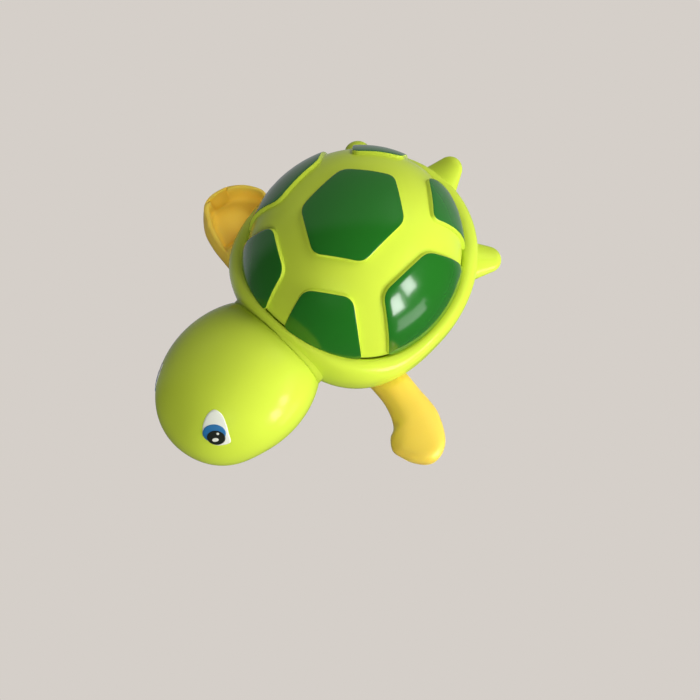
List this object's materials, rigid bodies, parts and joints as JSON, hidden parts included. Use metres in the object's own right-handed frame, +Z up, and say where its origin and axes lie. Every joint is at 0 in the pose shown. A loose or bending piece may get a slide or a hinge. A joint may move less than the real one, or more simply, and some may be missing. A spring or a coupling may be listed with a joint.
{
  "type": "wind-up swimming turtle toy",
  "caption": "Wind-up swimming turtle bath toy: domed shell with painted scutes on a boat hull, turned head, and scooped flippers on a geared cross shaft.",
  "frame": {"origin": "on the flat rest face of the belly, under the middle of the rim", "axes": "-Y towards the head, +X towards the toy's left, +Z up through the dome"},
  "size_m": [0.11, 0.1173, 0.0553],
  "materials": {
    "lime_plastic": "glossy",
    "green_paint": "glossy paint",
    "yellow_plastic": "satin",
    "eye_white": "printed",
    "eye_blue": "printed",
    "eye_black": "printed",
    "case_plastic": "as moulded",
    "gear_nylon": "as moulded",
    "screw_steel": "plain"
  },
  "bodies": {
    "toy": {"carapace_cover": "lime_plastic", "scute_paint": "green_paint", "lower_hull": "lime_plastic", "head_shell": "lime_plastic", "head_screws": "screw_steel", "eye_whites": "eye_white", "eye_irises": "eye_blue", "eye_pupils": "eye_black", "gearbox_base": "case_plastic", "gearbox_cover": "case_plastic", "case_screws": "screw_steel", "mount_screws": "screw_steel", "belly_screws": "screw_steel", "mainspring": "screw_steel", "idler_pin": "screw_steel"},
    "paddles": {"paddle_shaft": "screw_steel", "shaft_pinion": "gear_nylon", "left_flipper": "yellow_plastic", "right_flipper": "yellow_plastic"},
    "idler": {"idler_gear": "gear_nylon"},
    "spring_train": {"spring_arbor": "screw_steel", "spring_gear": "gear_nylon"}
  },
  "joints": [
    {"name": "paddle_spin", "type": "hinge", "parent": "toy", "child": "paddles", "pos_m": [0, -0.016, 0.01], "axis": [1, 0, 0], "continuous": true},
    {"name": "idler_spin", "type": "hinge", "parent": "toy", "child": "idler", "pos_m": [0, -0.00597, 0.01326], "axis": [1, 0, 0], "continuous": true},
    {"name": "spring_gear_spin", "type": "hinge", "parent": "toy", "child": "spring_train", "pos_m": [0, 0.00604, 0.01431], "axis": [1, 0, 0], "continuous": true}
  ],
  "couplings": [
    {"joint": "idler_spin", "follows": "paddle_spin", "ratio": -0.4},
    {"joint": "spring_gear_spin", "follows": "paddle_spin", "ratio": 0.13333}
  ]
}
